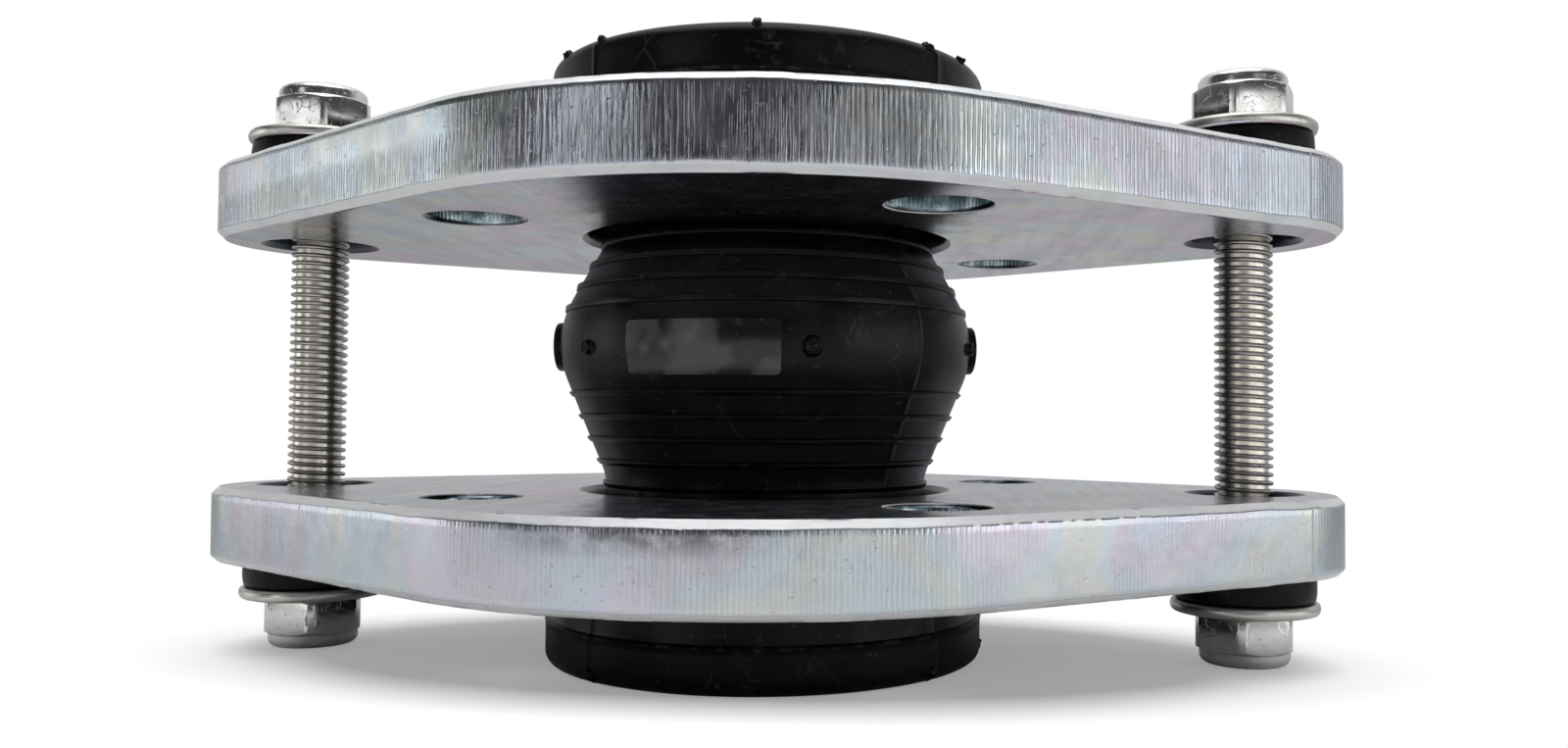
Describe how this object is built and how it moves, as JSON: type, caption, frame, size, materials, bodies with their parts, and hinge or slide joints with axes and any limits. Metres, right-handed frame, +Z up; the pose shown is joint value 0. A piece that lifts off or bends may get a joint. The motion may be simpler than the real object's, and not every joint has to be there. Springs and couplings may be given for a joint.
{
  "type": "rubber bellows connector",
  "caption": "Single-arch rubber bellows pipe connector between two eared steel flanges, held by tie rods with rubber-bushed washers and lock nuts.",
  "frame": {"origin": "centre of the lower sealing face, on the pipe axis, at the bottom of the part", "axes": "+Z up along the pipe axis, +X along the flange ears towards the right tie rod"},
  "size_m": [0.2386, 0.165, 0.122],
  "materials": {
    "bellows_rubber": "matte moulded rubber",
    "bush_rubber": "matte rubber",
    "plated_plate": "zinc-plated flame-cut plate",
    "rod_steel": "zinc-plated thread",
    "nut_steel": "bright zinc plate",
    "washer_steel": "bright zinc plate",
    "insert_nylon": "off-white nylon"
  },
  "bodies": {
    "lower_end": {"rubber_bellows": "bellows_rubber", "lower_flange": "plated_plate"},
    "tie_rods": {"left_tie_rod": "rod_steel", "right_tie_rod": "rod_steel", "lower_left_lock_nut": "nut_steel", "lower_right_lock_nut": "nut_steel", "upper_left_lock_nut": "nut_steel", "upper_right_lock_nut": "nut_steel", "lower_left_nylon_insert": "insert_nylon", "lower_right_nylon_insert": "insert_nylon", "upper_left_nylon_insert": "insert_nylon", "upper_right_nylon_insert": "insert_nylon", "lower_left_washer": "washer_steel", "lower_right_washer": "washer_steel", "upper_left_washer": "washer_steel", "upper_right_washer": "washer_steel", "lower_left_rubber_bush": "bush_rubber", "lower_right_rubber_bush": "bush_rubber"},
    "upper_bushes": {"upper_left_rubber_bush": "bush_rubber", "upper_right_rubber_bush": "bush_rubber"},
    "upper_end": {"upper_flange": "plated_plate"}
  },
  "joints": [
    {"name": "tie_rod_swing", "type": "hinge", "parent": "lower_end", "child": "tie_rods", "pos_m": [0, 0, 0.0161], "axis": [1, 0, 0], "range_deg": [-4, 4], "stiffness_Nm_per_rad": 120},
    {"name": "axial_compression", "type": "slide", "parent": "tie_rods", "child": "upper_bushes", "axis": [0, 0, 1], "range_m": [-0.01, 0], "stiffness_N_per_m": 20000, "springref_m": 0.003, "deforming": ["rubber_bellows", "lower_left_rubber_bush", "lower_right_rubber_bush", "upper_left_rubber_bush", "upper_right_rubber_bush"]},
    {"name": "flange_tilt", "type": "hinge", "parent": "upper_bushes", "child": "upper_end", "pos_m": [0, 0, 0.1059], "axis": [1, 0, 0], "range_deg": [-8, 8], "stiffness_Nm_per_rad": 60}
  ]
}
